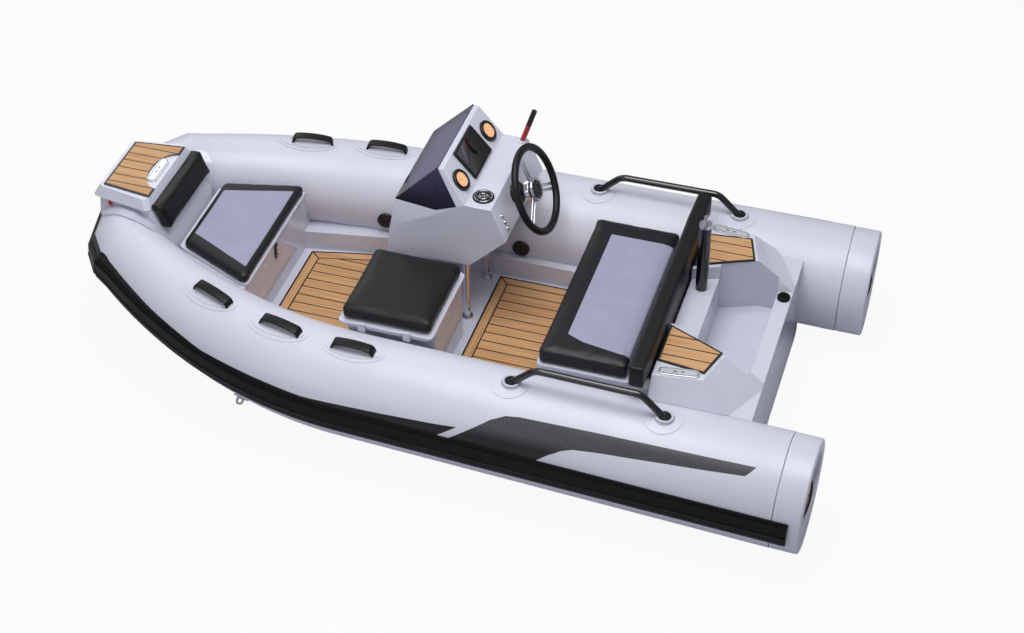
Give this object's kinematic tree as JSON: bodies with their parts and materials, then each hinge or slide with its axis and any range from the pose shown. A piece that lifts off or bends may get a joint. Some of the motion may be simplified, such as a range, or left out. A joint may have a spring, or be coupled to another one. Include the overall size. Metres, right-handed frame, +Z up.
{
  "type": "rigid inflatable boat",
  "caption": "Small rigid inflatable boat: V hull, mitred buoyancy tubes with rub strake, side helm console, cushioned bench, box seat and bow locker, teak-look floor.",
  "frame": {"origin": "on the waterline, on the centreline, at the aft face of the transom", "axes": "+X towards the bow, +Y to port, +Z up"},
  "size_m": [3.1499, 1.761, 1.0447],
  "materials": {
    "tube_fabric": "coated cloth, satin, cool light grey",
    "rub_rubber": "matte black extruded rubber",
    "base_rubber": "moulded grey rubber, satin",
    "strap_rubber": "moulded black rubber, satin",
    "rim_rubber": "black grip, satin",
    "cap_plastic": "moulded light grey plastic",
    "hull_gelcoat": "polished light grey gelcoat on glass fibre",
    "deck_gelcoat": "polished light grey gelcoat on glass fibre",
    "seat_vinyl": "black upholstery with grey panels",
    "polished_steel": "polished stainless steel",
    "black_steel": "gloss black coating",
    "black_plastic": "gloss black moulding",
    "tinted_acrylic": "dark violet tint, polished",
    "teak": "planks with dark seams, satin"
  },
  "bodies": {
    "boat": {"tube_port": "tube_fabric", "tube_starboard": "tube_fabric", "bow_tube_port": "tube_fabric", "bow_tube_starboard": "tube_fabric", "rub_strake": "rub_rubber", "tube_end_port": "cap_plastic", "tube_end_starboard": "cap_plastic", "hull_bottom": "hull_gelcoat", "transom": "hull_gelcoat", "deck_liner": "deck_gelcoat", "stern_moulding": "deck_gelcoat", "bench_base": "deck_gelcoat", "backrest": "seat_vinyl", "box_seat_base": "deck_gelcoat", "bow_locker": "deck_gelcoat", "bow_latch": "polished_steel", "bow_step": "deck_gelcoat", "bow_bolster": "seat_vinyl", "console_body": "deck_gelcoat", "windscreen": "tinted_acrylic", "console_legs": "polished_steel", "dash_display": "black_plastic", "dash_gauges": "black_plastic", "dash_speaker": "black_plastic", "dash_buttons": "polished_steel", "throttle_lever": "black_plastic", "helm_bezel": "black_plastic", "grab_rails": "black_steel", "rail_bases": "base_rubber", "handles_port": "strap_rubber", "handles_starboard": "strap_rubber", "stern_mast": "black_steel", "mast_light": "polished_steel", "cleats": "polished_steel", "air_valves": "black_plastic", "nav_lights": "black_plastic", "rigging_boot": "rub_rubber", "bow_eyes": "polished_steel", "teak_floor": "teak", "teak_decks": "teak"},
    "wheel": {"wheel_rim": "rim_rubber", "wheel_spider": "polished_steel"},
    "bench_seat": {"bench_lid": "deck_gelcoat", "bench_cushion": "seat_vinyl"},
    "bow_seat": {"bow_lid": "deck_gelcoat", "bow_cushion": "seat_vinyl"},
    "box_seat": {"box_seat_lid": "deck_gelcoat", "box_seat_cushion": "seat_vinyl"}
  },
  "joints": [
    {"name": "steering", "type": "hinge", "parent": "boat", "child": "wheel", "pos_m": [1.08094, -0.3, 0.67108], "axis": [-0.9093, 0, 0.4162], "range_deg": [-540, 540]},
    {"name": "bench_lid_hinge", "type": "hinge", "parent": "boat", "child": "bench_seat", "pos_m": [0.862, 0, 0.405], "axis": [0, 1, 0], "range_deg": [0, 75]},
    {"name": "bow_lid_hinge", "type": "hinge", "parent": "boat", "child": "bow_seat", "pos_m": [2.455, 0, 0.442], "axis": [0, 1, 0], "range_deg": [0, 55]},
    {"name": "box_lid_hinge", "type": "hinge", "parent": "boat", "child": "box_seat", "pos_m": [1.476, 0.441, 0.44], "axis": [-1, 0, 0], "range_deg": [0, 75]}
  ]
}
